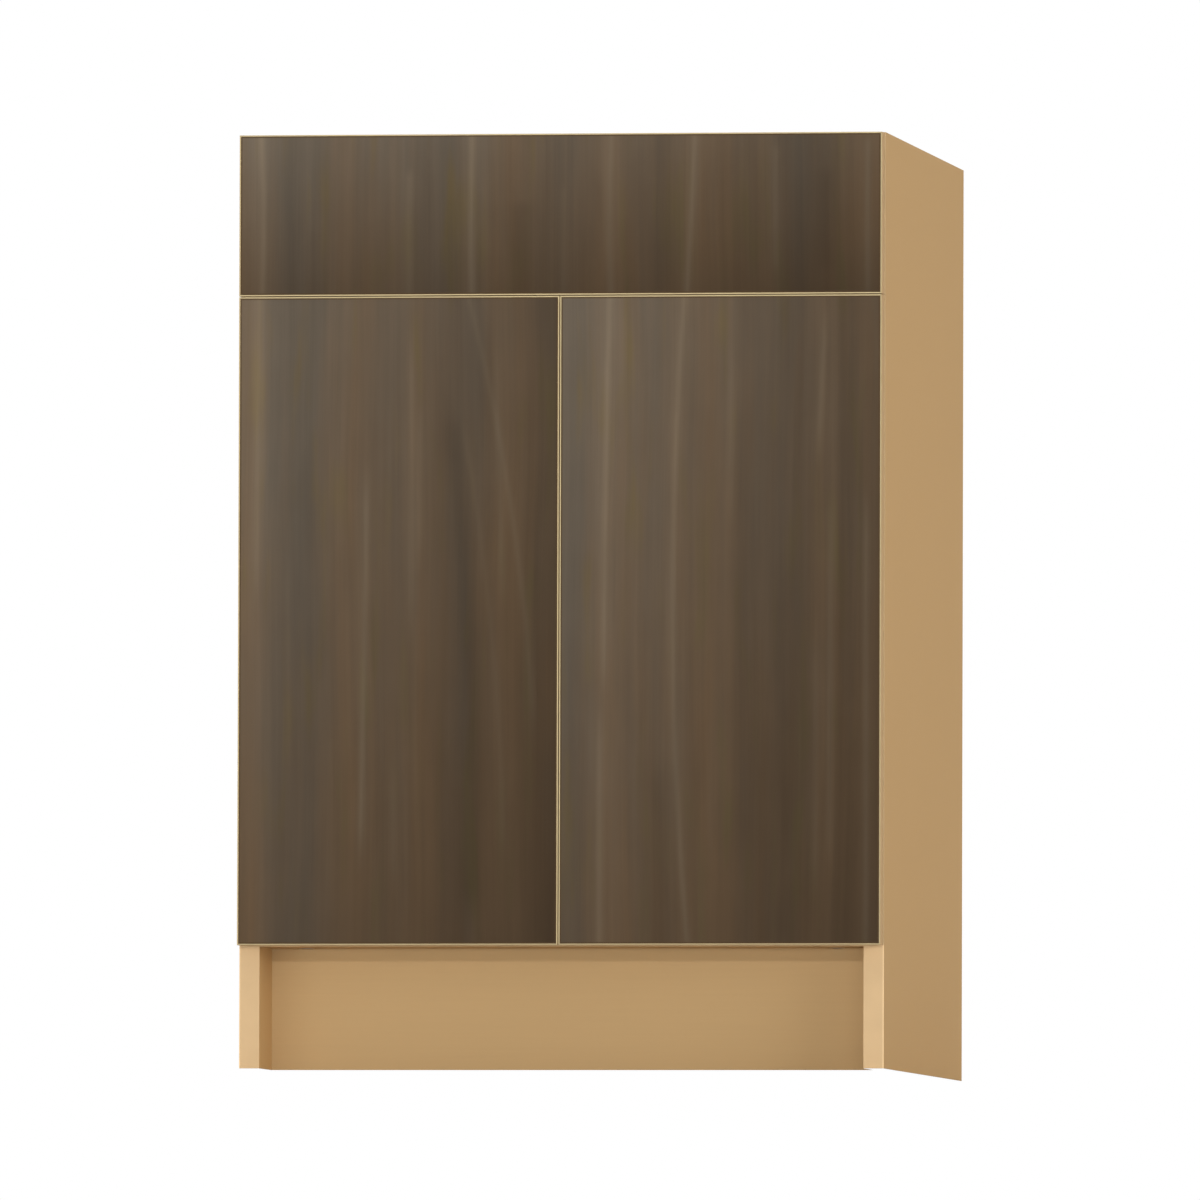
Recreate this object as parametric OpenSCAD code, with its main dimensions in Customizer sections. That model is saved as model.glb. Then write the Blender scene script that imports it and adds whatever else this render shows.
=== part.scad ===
// Kitchen base cabinet: one drawer over two doors, frameless, on a recessed toe board.
// Millimetres. +X is right, -Y is the front, +Z is up. The origin is on the floor,
// under the centre of the cabinet's footprint.

/* [Cabinet] */
// Overall width across the side panels
cab_w = 609.6; // [500:0.1:760]
// Overall height from the floor to the top of the side panels
cab_h = 876.3; // [840:0.1:920]
// Overall depth from the faces of the fronts to the wall
cab_d = 609.6; // [590:0.1:660]
// Thickness of the sides, bottom, rails and shelf
panel_t = 19.05; // [18:0.01:20]
// Thickness of the back panel
back_t = 6.35; // [5:0.01:7]
// Depth of the grooves that hold the back panel
groove_depth = 9.5; // [7:0.1:11]
// Depth of the stretchers and of the divider rail, and height of the wall rails
rail_w = 96; // [80:1:110]
// Thickness of the banding on the front edges of the carcass
edging_t = 0.8; // [0.5:0.1:1]
// Height of the toe space under the bottom panel
toe_h = 114.3; // [100:0.1:125]
// Distance of the toe board behind the carcass front
toe_recess = 76.2; // [60:0.1:90]

/* [Fronts] */
// Thickness of the doors and of the drawer front
front_t = 19.05; // [18:0.01:20]
// Height of the drawer front
drawer_front_h = 151.4; // [140:0.1:160]
// Thickness of the pale banding round each front
band_t = 1.2; // [0.8:0.1:1.4]
// Radius of the banding's outer corners
band_r = 0.4; // [0.2:0.05:0.55]
// Strip of carcass that shows round the outside of the fronts
reveal = 0.8; // [0.7:0.1:1.5]
// Gap between the two doors
door_gap = 0.8; // [0.8:0.1:3]
// Gap between the drawer front and the doors
row_gap = 0.8; // [0.8:0.1:3]
// Gap between the backs of the fronts and the carcass
bumper_gap = 1.6; // [1.5:0.05:1.8]

/* [Shelf] */
// Number of the shelf pin hole that carries the shelf, counted from the lowest
shelf_hole = 7; // [3:1:11]
// Gap between the shelf and each side panel
shelf_gap = 1.5; // [1:0.1:3]
// Distance of the shelf's front edge behind the carcass front
shelf_setback = 24; // [20:1:60]
// Pitch of the shelf pin holes
hole_pitch = 32; // [30:1:32]
// Diameter of the shelf pin holes
hole_d = 5; // [5:0.1:5.2]
// Depth of the shelf pin holes
hole_depth = 11; // [10:0.1:12]
// Distance of the front and rear rows of holes from the panel's edges
row_inset = 37; // [37:0.1:38]

/* [Drawer] */
// Space between the drawer box and the back panel
box_back_gap = 57.15; // [45:0.05:57.15]
// Height of the drawer box
box_h = 101.6; // [90:0.1:104]
// Thickness of the drawer box's sides, front and back
box_t = 12.7; // [12:0.1:14]
// Thickness of the drawer bottom
box_bottom_t = 6.35; // [5:0.05:7]
// Height of the drawer bottom above the lower edges of the box
box_bottom_z = 12.7; // [10:0.1:14]
// Height of the box's lower edge above the divider rail
box_lift = 9; // [7:0.5:11]

/* [Runners] */
// Length by which the runners are shorter than the drawer box
runner_short = 8; // [4:1:8]
// Space that a runner takes between the side panel and the drawer box
runner_t = 12.7; // [12.7:0.05:13]
// Height of the runner's centre line above the box's lower edge
runner_lift = 40; // [35:1:45]
// Thickness of the runner's steel
runner_steel = 1.2; // [1:0.05:1.25]
// Diameter of the runner's balls
ball_d = 3.2; // [3:0.05:3.25]
// Number of balls in one row
balls_per_row = 9; // [6:1:12]
// Length of a ball cage
cage_len = 240; // [220:1:245]

/* [Hinges] */
// Diameter of the hinge cup
cup_d = 35; // [34.8:0.1:35]
// Depth of the cup's bore in the door
cup_depth = 12.6; // [12.6:0.1:13]
// Strip of door left between the cup's bore and the door's edge
cup_tab = 4.2; // [4:0.1:4.2]
// Thickness of the cup's wall and flange
cup_wall = 0.8; // [0.7:0.05:0.8]
// Distance of each cup screw above and below the cup's centre
cup_screw_w = 24; // [24:0.1:25]
// Diameter of the hinge pins
hinge_pin_d = 3; // [2.8:0.1:3]
// Thickness of the links
link_t = 1.5; // [1.3:0.1:1.5]

/* [Fittings] */
// Diameter of the wooden dowels
dowel_d = 8; // [7:0.5:8]
// Length of the dowels
dowel_len = 32; // [28:1:34]
// Diameter of the cam locks
cam_d = 15; // [14:0.5:15]
// Depth of the cam locks
cam_h = 12.5; // [11:0.1:13]
// Distance of the cam's centre from the end of its panel
cam_inset = 34; // [32:1:36]
// Diameter of the screws that fix hinge plates and runners to the sides
screw_d = 4.9; // [4.5:0.1:4.9]
// Diameter of the worktop screw holes in the stretchers
top_hole_d = 6; // [5:0.5:7]
// Distance of the worktop screw holes from the middle of the cabinet
top_hole_x = 200; // [150:1:220]
// Diameter of the wall screw holes in the upper wall rail
wall_hole_d = 6; // [5:0.5:7]
// Distance of the wall screw holes from the middle of the cabinet
wall_hole_x = 203.2; // [150:0.1:220]

/* [Hidden] */
$fn = 48;

tan_board = [0.71, 0.58, 0.41];
tan_edge = [0.85, 0.73, 0.56];
dark_laminate = [0.36, 0.30, 0.24];
birch = [0.84, 0.74, 0.58];
steel = [0.72, 0.73, 0.75];
zinc = [0.62, 0.63, 0.65];
clear_plastic = [0.85, 0.85, 0.83];

// Overshoot that keeps cuts clear of the faces they pass through
eps = 1;

// Carcass planes
front_y = -cab_d / 2;
carcass_y = front_y + front_t + bumper_gap;
board_y = carcass_y + edging_t;
wall_y = cab_d / 2;
back_y = wall_y - panel_t - back_t;
inner_x = cab_w / 2 - panel_t;
deck_z = toe_h + panel_t;
stretcher_z = cab_h - panel_t;
groove_gap = 0.3;

// Rows of fronts
door_z0 = toe_h + reveal;
drawer_z1 = cab_h - reveal;
drawer_z0 = drawer_z1 - drawer_front_h;
door_z1 = drawer_z0 - row_gap;
divider_z = drawer_z0 - row_gap / 2 - panel_t / 2;
front_w = cab_w - 2 * reveal;
bumper_r = 4;
bumper_t = bumper_gap - 0.1;

// Rows of shelf pin holes, which also take the hinge plates
lowest_hole = 84;
highest_hole = 60;
hole_z0 = door_z0 + lowest_hole;
hole_count = floor((door_z1 - highest_hole - hole_z0) / hole_pitch) + 1;
hole_zs = [for (i = [0 : hole_count - 1]) hole_z0 + i * hole_pitch];
front_row_y = carcass_y + row_inset;
rear_row_y = back_y - row_inset;
hinge_zs = [hole_zs[0] + hole_pitch / 2, hole_zs[hole_count - 1] - hole_pitch / 2];

// Shelf
pin_gap_d = 0.1;
pin_d = hole_d - pin_gap_d;
pin_out = 8;
shelf_back_gap = 2;
shelf_z = hole_zs[shelf_hole - 1] + pin_d / 2;
shelf_w = 2 * (inner_x - shelf_gap);
shelf_y0 = carcass_y + shelf_setback;
shelf_y1 = back_y - shelf_back_gap;

// Drawer box
box_z0 = divider_z + panel_t + box_lift;
box_y0 = carcass_y - bumper_gap;
box_len = back_y - box_back_gap - box_y0;
box_x = inner_x - runner_t;
box_groove = 6;
box_fit = 0.2;
box_screw_in = 10;
front_screw_inset = 60;
front_screw_head = 1.6;

// Runners: p runs from the side panel to the drawer box, q up from the centre line
runner_inset = 3;
runner_y0 = carcass_y + runner_inset;
runner_len = box_len - runner_short;
runner_z = box_z0 + runner_lift;
ball_gap = 0.3;
race_r = ball_d / 2 + ball_gap;
outer_ball = [6, 19.8];
middle_web_p = 2.6;
middle_flange_q = outer_ball[1] - race_r;
inner_ball = [8, middle_flange_q - runner_steel - race_r];
cage_t = 0.5;
cage_y0 = runner_y0 + runner_len / 4;
ball_step = cage_len / balls_per_row;
ball_ys = [for (i = [0 : balls_per_row - 1]) cage_y0 + (i + 0.5) * ball_step];
runner_screw_inset = 35;
runner_screw_ys = [for (y = [runner_screw_inset, runner_len / 2, runner_len - runner_screw_inset]) runner_y0 + y];
runner_head_r = 3.3;

// Hinges: u runs inward from the side panel's inner face, v forward from the carcass front
cup_u = -(panel_t - reveal) + cup_tab + cup_d / 2;
cup_v = bumper_gap;
cup_r = cup_d / 2 - 0.1;
cup_flange_t = 1.2;
cup_screw_u = cup_u + 5.5;
cup_screw_r = 1.9;
cup_screw_head = 1.4;
cup_screw_len = 13;
link_pin_a = [7.1, -8.2];
link_pin_b = [16, 8];
cup_pin_c = [-9.5, 8];
cup_pin_d = [-4, 9.6];
pin_gap = 0.06;
pin_r = hinge_pin_d / 2;
stub_r = 1.2;
outer_link_w = 2.6;
outer_link_bends = [[-6.6, 11.6], [-1.8, 12.15], [2.6, 8.4], [4.6, 0]];
inner_link_w = [3, 4.6];
inner_link_tip = [-0.65, 10.4];
inner_link_bends = [[9, 10.7], [13, 9.6]];
arm_w = 6.5;
arm_wall = 1.5;
arm_web_u = 10.75;
arm_bend_v = -12;
arm_nose_point = [16.2, 1];
arm_rear = 24;
plate_screw_v = -row_inset;
plate_rib = [22, 19];
plate_rib_u = 9.9;
adjuster_ahead = 14;
adjuster_behind = 16;
adjuster_v = [plate_screw_v + adjuster_ahead, plate_screw_v - adjuster_behind];
adjuster_hole_r = 2.5;
adjuster_r = 2;
adjuster_head_r = 3.4;
adjuster_len = 7;

// Fittings
fit_gap = 0.1;
screw_gap = 0.05;
bolt_r = 3;
panel_bolt_r = 4;
dowel_side = 11;
dowel_inset = 20;

// Panels that join the sides with dowels: [underside, first y, last y]
joined_panels = [
    [toe_h, board_y, back_y],
    [divider_z, board_y, board_y + rail_w],
    [stretcher_z, board_y, board_y + rail_w],
    [stretcher_z, back_y - rail_w, back_y]
];

// Centres of the dowels in the right-hand side panel
panel_dowels = [for (p = joined_panels, y = [p[1] + dowel_inset, p[2] - dowel_inset])
    [inner_x, y, p[0] + panel_t / 2]];
rail_dowels = [for (z0 = [cab_h - rail_w, deck_z], z = [z0 + dowel_inset, z0 + rail_w - dowel_inset])
    [inner_x, wall_y - panel_t / 2, z]];
toe_dowels = [for (z = [dowel_inset, toe_h - dowel_inset])
    [inner_x, carcass_y + toe_recess + panel_t / 2, z]];
dowel_points = concat(panel_dowels, rail_dowels, toe_dowels);

// Centres of the cam bolts in the right-hand side panel: two in the bottom, one in each rail
bottom_bolt_inset = 70;
bottom_bolts = [for (y = [board_y + bottom_bolt_inset, back_y - bottom_bolt_inset])
    [inner_x, y, toe_h + panel_t / 2]];
rail_bolts = [for (i = [1 : 3]) let (p = joined_panels[i])
    [inner_x, (p[1] + p[2]) / 2, p[0] + panel_t / 2]];
bolt_points = concat(bottom_bolts, rail_bolts);

// A board between two corners
module board(low, high) {
    translate(low) cube(high - low);
}

// A bored cylinder along X, towards +X, from its low end
module along_x(p, r, h) {
    translate(p) rotate([0, 90, 0]) cylinder(r = r, h = h);
}

// A cylinder along Y, towards +Y, from its low end
module along_y(p, r, h) {
    translate(p) rotate([-90, 0, 0]) cylinder(r = r, h = h);
}

// Both sides of the cabinet from the right-hand one
module both_sides() {
    children();
    mirror([1, 0, 0]) children();
}

// Holes for dowels and cam bolts in the end of a panel, for the right-hand end
module end_bores(points) {
    for (p = points) along_x([p[0] - dowel_len + dowel_side - fit_gap, p[1], p[2]],
        dowel_d / 2 + fit_gap / 2, dowel_len);
}

// Bores for a cam lock and its bolt, for the right-hand end
module cam_bores() {
    for (p = bolt_points) {
        along_x([p[0] - cam_inset, p[1], p[2]], panel_bolt_r, cam_inset + eps);
        translate([p[0] - cam_inset, p[1], p[2] - panel_t / 2 - eps])
            cylinder(r = cam_d / 2 + fit_gap / 2, h = cam_h + 0.5 + eps);
    }
}

// Every bore that the joints make in the panels between the sides
module joint_bores() {
    both_sides() {
        end_bores(dowel_points);
        cam_bores();
    }
}

// Groove for the back panel in a side or in the bottom
module back_groove() {
    board([-inner_x - groove_depth, back_y, deck_z - groove_depth],
        [inner_x + groove_depth, back_y + back_t + groove_gap, cab_h + eps]);
}

// Side panel on the right, drilled for the joints, the shelf pins, the hinges and the runner
module side_panel() {
    difference() {
        board([inner_x, board_y, 0], [cab_w / 2, wall_y, cab_h]);
        back_groove();
        for (y = [front_row_y, rear_row_y], z = hole_zs)
            along_x([inner_x - eps, y, z], hole_d / 2, hole_depth + eps);
        for (y = runner_screw_ys)
            along_x([inner_x - eps, y, runner_z], hole_d / 2, hole_depth + eps);
        for (p = dowel_points)
            along_x([p[0] - eps, p[1], p[2]], dowel_d / 2 + fit_gap / 2, dowel_side + fit_gap + eps);
        for (p = bolt_points)
            along_x([p[0] - eps, p[1], p[2]], bolt_r + fit_gap / 2, dowel_side + fit_gap + eps);
    }
}

module right_side() {
    color(tan_board) side_panel();
}

module left_side() {
    color(tan_board) mirror([1, 0, 0]) side_panel();
}

module bottom_panel() {
    color(tan_board) difference() {
        board([-inner_x, board_y, toe_h], [inner_x, wall_y, deck_z]);
        back_groove();
        joint_bores();
    }
}

module back_panel() {
    edge_gap = 0.5;
    color(tan_board) difference() {
        board([-inner_x - groove_depth + edge_gap, back_y, deck_z - groove_depth + edge_gap],
            [inner_x + groove_depth - edge_gap, back_y + back_t, cab_h]);
        wall_holes();
    }
}

// Screw holes for the wall, through the back panel and the upper wall rail
module wall_holes() {
    for (x = [-wall_hole_x, wall_hole_x])
        along_y([x, back_y - eps, cab_h - rail_w / 2], wall_hole_d / 2, back_t + panel_t + 2 * eps);
}

// A top stretcher with its worktop screw holes
module stretcher(y0) {
    color(tan_board) difference() {
        board([-inner_x, y0, stretcher_z], [inner_x, y0 + rail_w, cab_h]);
        joint_bores();
        for (x = [-top_hole_x, top_hole_x])
            translate([x, y0 + rail_w / 2, stretcher_z - eps])
                cylinder(d = top_hole_d, h = panel_t + 2 * eps);
    }
}

module front_stretcher() {
    stretcher(board_y);
}

module rear_stretcher() {
    stretcher(back_y - rail_w);
}

module divider_rail() {
    color(tan_board) difference() {
        board([-inner_x, board_y, divider_z], [inner_x, board_y + rail_w, divider_z + panel_t]);
        joint_bores();
    }
}

// A rail behind the back panel, from its lower edge
module wall_rail(z0) {
    color(tan_board) difference() {
        board([-inner_x, wall_y - panel_t + groove_gap, z0], [inner_x, wall_y, z0 + rail_w]);
        joint_bores();
        wall_holes();
    }
}

module upper_wall_rail() {
    wall_rail(cab_h - rail_w);
}

module lower_wall_rail() {
    wall_rail(deck_z);
}

module toe_board() {
    toe_y = carcass_y + toe_recess;
    color(tan_board) difference() {
        board([-inner_x, toe_y, 0], [inner_x, toe_y + panel_t, toe_h]);
        joint_bores();
    }
}

// Banding on the front edges of the sides, the bottom, the divider and the front stretcher
module carcass_edging() {
    color(tan_edge) {
        both_sides() board([inner_x, carcass_y, 0], [cab_w / 2, board_y, cab_h]);
        for (z = [toe_h, divider_z, stretcher_z])
            board([-inner_x, carcass_y, z], [inner_x, board_y, z + panel_t]);
    }
}

module dowels() {
    color(birch) both_sides() for (p = dowel_points)
        along_x([p[0] - dowel_len + dowel_side, p[1], p[2]], dowel_d / 2, dowel_len - fit_gap);
}

// Cam lock with its screwdriver slot and the pocket that takes the bolt's head
module cam_locks() {
    slot_w = 1.4;
    color(zinc) both_sides() for (p = bolt_points)
        translate([p[0] - cam_inset, p[1], p[2] - panel_t / 2]) difference() {
            cylinder(d = cam_d, h = cam_h);
            board([-cam_d / 3, -slot_w / 2, -eps], [cam_d / 3, slot_w / 2, 1.5]);
            board([-slot_w / 2, -cam_d / 3, -eps], [slot_w / 2, cam_d / 3, 1.5]);
            translate([-2, 0, panel_t / 2]) rotate([0, 90, 0]) cylinder(r = panel_bolt_r, h = cam_d);
        }
}

// Bolt from the side panel to the cam, necked behind its head
module cam_bolts() {
    head_len = 3;
    neck_len = 4;
    color(zinc) both_sides() for (p = bolt_points) {
        along_x([p[0] - fit_gap, p[1], p[2]], bolt_r, dowel_side);
        along_x([p[0] - cam_inset + head_len + neck_len - 1, p[1], p[2]], bolt_r,
            cam_inset - head_len - neck_len + 1);
        along_x([p[0] - cam_inset + head_len - 1, p[1], p[2]], bolt_r / 2, neck_len);
        along_x([p[0] - cam_inset - 1, p[1], p[2]], bolt_r, head_len);
    }
}

module shelf() {
    color(tan_board)
        board([-shelf_w / 2, shelf_y0 + edging_t, shelf_z], [shelf_w / 2, shelf_y1, shelf_z + panel_t]);
}

module shelf_edging() {
    color(tan_edge)
        board([-shelf_w / 2, shelf_y0, shelf_z], [shelf_w / 2, shelf_y0 + edging_t, shelf_z + panel_t]);
}

// Plain pins with a collar, four under the shelf
module shelf_pins() {
    collar_t = 1;
    collar_r = 3.45;
    color(steel) both_sides() for (y = [front_row_y, rear_row_y]) {
        p = [inner_x, y, hole_zs[shelf_hole - 1]];
        along_x(p - [pin_out, 0, 0], pin_d / 2, pin_out + hole_depth - eps);
        difference() {
            along_x(p - [collar_t, 0, 0], collar_r, collar_t);
            board(p + [-shelf_gap - eps, -hole_d, pin_d / 2], p + [eps, hole_d, hole_d]);
        }
    }
}

// Cross recess in a screw's head, cut into the face at z = 0 towards +Z
module cross_recess() {
    recess_w = 0.9;
    recess_len = 3.4;
    recess_depth = 1;
    translate([-recess_len / 2, -recess_w / 2, -eps]) cube([recess_len, recess_w, recess_depth + eps]);
    translate([-recess_w / 2, -recess_len / 2, -eps]) cube([recess_w, recess_len, recess_depth + eps]);
}

// Half of a race: the part of a ring round a ball that lies above (or below) the ball's cage
module race(ball, up) {
    ring_r = race_r + runner_steel;
    clear = 0.5;
    intersection() {
        translate(ball) difference() {
            circle(r = ring_r);
            circle(r = race_r);
        }
        translate([ball[0] - ring_r, up ? ball[1] + clear : ball[1] - ring_r])
            square([2 * ring_r, ring_r - clear]);
    }
}

// Upper halves of the three members' profiles in p and q
module cabinet_profile() {
    top_q = outer_ball[1] + race_r + runner_steel;
    square([runner_steel, top_q]);
    translate([0, top_q - runner_steel]) square([outer_ball[0], runner_steel]);
    race(outer_ball, true);
}

module middle_profile() {
    flange_len = outer_ball[0] + race_r - middle_web_p + 1.6;
    translate([middle_web_p, 0]) square([runner_steel, middle_flange_q]);
    translate([middle_web_p, middle_flange_q - runner_steel]) square([flange_len, runner_steel]);
}

module drawer_profile() {
    low_q = inner_ball[1] - race_r - runner_steel;
    translate([runner_t - runner_steel, 0]) square([runner_steel, low_q + runner_steel]);
    translate([inner_ball[0], low_q]) square([runner_t - inner_ball[0], runner_steel]);
    race(inner_ball, false);
}

// Runs a half profile, mirrored about its centre line, along the right-hand runner
module runner_member(y0, length) {
    translate([inner_x, y0, runner_z]) rotate([90, 0, 180])
        linear_extrude(length) {
            children();
            mirror([0, 1]) children();
        }
}

// Countersunk holes or screws through a runner's web, pointing towards +X
module web_screws(x, gap, into) {
    for (y = runner_screw_ys) {
        translate([x, y, runner_z]) rotate([0, 90, 0])
            cylinder(r1 = runner_head_r + gap, r2 = screw_d / 2 + gap, h = runner_steel);
        along_x([x, y, runner_z], screw_d / 2 + gap, into);
    }
}

module cabinet_member() {
    color(steel) difference() {
        runner_member(runner_y0, runner_len) cabinet_profile();
        web_screws(inner_x - runner_steel, screw_gap, runner_steel + eps);
    }
}

module middle_member() {
    color(steel) runner_member(runner_y0, runner_len) middle_profile();
}

module drawer_member() {
    color(steel) difference() {
        runner_member(runner_y0, runner_len) drawer_profile();
        drawer_web_screws(screw_gap, runner_steel + eps);
    }
}

// Countersunk holes or screws from the runner into the right-hand side of the drawer box
module drawer_web_screws(gap, into) {
    for (y = runner_screw_ys)
        translate([box_x + runner_steel, y, runner_z]) rotate([0, -90, 0]) {
            cylinder(r1 = runner_head_r + gap, r2 = screw_d / 2 + gap, h = runner_steel);
            cylinder(r = screw_d / 2 + gap, h = into);
        }
}

module right_cabinet_runner() {
    cabinet_member();
}

module left_cabinet_runner() {
    mirror([1, 0, 0]) cabinet_member();
}

module right_middle_runner() {
    middle_member();
}

module left_middle_runner() {
    mirror([1, 0, 0]) middle_member();
}

module right_drawer_runner() {
    drawer_member();
}

module left_drawer_runner() {
    mirror([1, 0, 0]) drawer_member();
}

// A channel of thin strip that holds the balls of one race pair, from its web's p
module cage(ball, web_p) {
    tab_p = ball[0] + ball_d / 2;
    difference() {
        runner_member(cage_y0, cage_len) {
            translate([web_p, 0]) square([cage_t, ball[1] + cage_t / 2]);
            translate([web_p, ball[1] - cage_t / 2]) square([tab_p - web_p + 0.4, cage_t]);
        }
        for (y = ball_ys, s = [-1, 1])
            translate([inner_x - ball[0], y, runner_z + s * ball[1]])
                cylinder(r = ball_d / 2 + fit_gap / 2, h = 4, center = true);
    }
}

module balls(ball) {
    for (y = ball_ys, s = [-1, 1])
        translate([inner_x - ball[0], y, runner_z + s * ball[1]]) sphere(d = ball_d, $fn = 24);
}

module outer_ball_cages() {
    color(zinc) both_sides() cage(outer_ball, middle_web_p - 0.3 - cage_t);
}

module outer_balls() {
    color(steel) both_sides() balls(outer_ball);
}

module inner_ball_cages() {
    color(zinc) both_sides() cage(inner_ball, middle_web_p + runner_steel + 0.3);
}

module inner_balls() {
    color(steel) both_sides() balls(inner_ball);
}

// Places a hinge fitting, drawn in u, v and height, on the right-hand side at both heights
module at_hinges() {
    for (z = hinge_zs)
        translate([inner_x, carcass_y, z]) rotate([0, 0, 180]) children();
}

// A bent strip of sheet that follows a list of points in u and v, between two heights
module strip(points, t, w0, w1) {
    bend_ease = 0.03;
    bend_r = t / 2 + bend_ease;
    translate([0, 0, w0]) linear_extrude(w1 - w0) {
        for (p = points) translate(p) circle(r = bend_r, $fn = 24);
        for (i = [0 : len(points) - 2]) {
            d = points[i + 1] - points[i];
            translate(points[i]) rotate(atan2(d[1], d[0])) translate([0, -t / 2]) square([norm(d), t]);
        }
    }
}

// A pin along the hinge's height, between two heights
module upright(p, r, w0, w1) {
    translate([p[0], p[1], w0]) cylinder(r = r, h = w1 - w0);
}

// Cross-shaped plate screwed to the side, with a rib that carries the arm
module hinge_plate() {
    base_t = 2;
    wing_w = 24;
    wing_v = 6.5;
    rib_w = arm_w - arm_wall - 0.2;
    pocket_u = 3;
    pocket_v = 8;
    pocket_wall = 1.5;
    difference() {
        union() {
            rotate([0, 90, 0]) linear_extrude(base_t) {
                translate([-wing_w + wing_v, plate_screw_v - wing_v]) square([2 * (wing_w - wing_v), 2 * wing_v]);
                for (s = [-1, 1]) translate([s * (wing_w - wing_v), plate_screw_v]) circle(r = wing_v);
            }
            board([0, plate_screw_v - plate_rib[0], -rib_w], [plate_rib_u, plate_screw_v + plate_rib[1], rib_w]);
        }
        board([pocket_u, plate_screw_v - pocket_v, -rib_w + pocket_wall],
            [plate_rib_u + eps, plate_screw_v + pocket_v, rib_w - pocket_wall]);
        for (v = adjuster_v)
            along_x([arm_web_u + arm_wall / 2 - adjuster_len - fit_gap, v, 0],
                adjuster_r + screw_gap, adjuster_len);
        for (s = [-1, 1])
            along_x([-eps, plate_screw_v, s * hole_pitch / 2], screw_d / 2 + fit_gap / 2, base_t + 2 * eps);
    }
}

// Cover arm over the plate's rib, whose nose carries the two link pins
module hinge_arm() {
    rear_v = plate_screw_v - arm_rear;
    top_u = arm_web_u + arm_wall / 2;
    low_u = 3;
    nose_r = 2.3;
    heel_r = 3.2;
    chin = [[8.5, 2.5], [3.4, -6]];
    cheek = [[low_u, rear_v], [top_u, rear_v], [top_u, arm_bend_v],
        [link_pin_b[0] + nose_r, link_pin_b[1] - 1], [link_pin_b[0] - nose_r, link_pin_b[1]],
        chin[0], chin[1], [low_u, arm_bend_v]];
    difference() {
        union() {
            strip([[arm_web_u, rear_v + arm_wall / 2], [arm_web_u, arm_bend_v], arm_nose_point],
                arm_wall, -arm_w, arm_w);
            for (w = [-arm_w, arm_w - arm_wall])
                translate([0, 0, w]) linear_extrude(arm_wall) {
                    polygon(cheek);
                    translate(link_pin_b) circle(r = nose_r);
                    translate(link_pin_a) circle(r = heel_r);
                }
        }
        for (p = [link_pin_a, link_pin_b]) upright(p, pin_r + pin_gap, -arm_w - eps, arm_w + eps);
        for (v = adjuster_v) along_x([arm_web_u - arm_wall, v, 0], adjuster_hole_r, 2 * arm_wall);
    }
}

// Screws that fix and adjust an arm on its plate: pan heads on the arm's web
module hinge_adjuster_pair() {
    head_h = 1.6;
    head_bevel = 0.5;
    top_u = arm_web_u + arm_wall / 2;
    for (v = adjuster_v) difference() {
        union() {
            along_x([top_u - adjuster_len + fit_gap, v, 0], adjuster_r, adjuster_len);
            along_x([top_u, v, 0], adjuster_head_r, head_h - head_bevel);
            translate([top_u + head_h - head_bevel, v, 0]) rotate([0, 90, 0])
                cylinder(r1 = adjuster_head_r, r2 = adjuster_head_r - head_bevel, h = head_bevel);
        }
        translate([top_u + head_h, v, 0]) rotate([0, -90, 0]) cross_recess();
    }
}

// Cranked link that carries the door: it reaches round the door's edge when the door is open
module outer_link() {
    path = [cup_pin_c, each outer_link_bends, link_pin_a];
    eye_r = pin_r + 1.1;
    difference() {
        union() {
            strip(path, link_t, -outer_link_w, outer_link_w);
            upright(cup_pin_c, eye_r, -outer_link_w, outer_link_w);
            upright(link_pin_a, eye_r, -arm_w + arm_wall + 0.2, arm_w - arm_wall - 0.2);
        }
        for (p = [cup_pin_c, link_pin_a]) upright(p, pin_r + pin_gap, -arm_w, arm_w);
    }
}

// Pair of guide links; the end at the cup stops beside its pin
module inner_link() {
    path = [inner_link_tip, each inner_link_bends, link_pin_b];
    pad = [[-0.85, -1.2], [0.85, 2.7]];
    eye_r = pin_r + 0.8;
    for (s = [0, 1]) mirror([0, 0, s]) difference() {
        union() {
            strip(path, link_t, inner_link_w[0], inner_link_w[1]);
            board([each inner_link_tip + pad[0], inner_link_w[0]],
                [each inner_link_tip + pad[1], inner_link_w[1]]);
            upright(link_pin_b, eye_r, inner_link_w[0], inner_link_w[1]);
        }
        upright(link_pin_b, pin_r + pin_gap, 0, arm_w);
    }
}

// Half the length of a pin at u, with its ends seated in the cup's wall
function cup_pin_reach(u, r) = sqrt(pow(cup_r, 2) - pow(abs(u - cup_u) + r, 2)) - screw_gap;

// Cup with its flange on the door's back, notched where the links reach round the door's edge
module hinge_cup() {
    notch_w = 6;
    wing_r = 6;
    wing_u = cup_screw_u - cup_u;
    translate([cup_u, cup_v, 0]) rotate([-90, 0, 0]) difference() {
        union() {
            cylinder(r = cup_r, h = cup_depth - fit_gap);
            translate([0, 0, -cup_flange_t]) linear_extrude(cup_flange_t) {
                circle(r = cup_r + 2);
                translate([wing_u - wing_r, -cup_screw_w]) square([2 * wing_r, 2 * cup_screw_w]);
                for (s = [-1, 1]) translate([wing_u, s * cup_screw_w]) circle(r = wing_r);
            }
        }
        translate([0, 0, -cup_flange_t - eps])
            cylinder(r = cup_r - cup_wall, h = cup_depth + cup_flange_t - fit_gap - cup_wall + eps);
        board([-cup_d, -notch_w, -cup_flange_t - eps], [-cup_r / 2, notch_w, 0]);
        for (s = [-1, 1]) translate([wing_u, s * cup_screw_w, -cup_flange_t - eps])
            cylinder(r = cup_screw_r + fit_gap, h = cup_flange_t + 2 * eps);
    }
}

module cup_pin_bores() {
    for (p = [[cup_pin_c, pin_r], [cup_pin_d, stub_r]])
        upright(p[0], p[1] + 0.02, -cup_d / 2, cup_d / 2);
}

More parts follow.
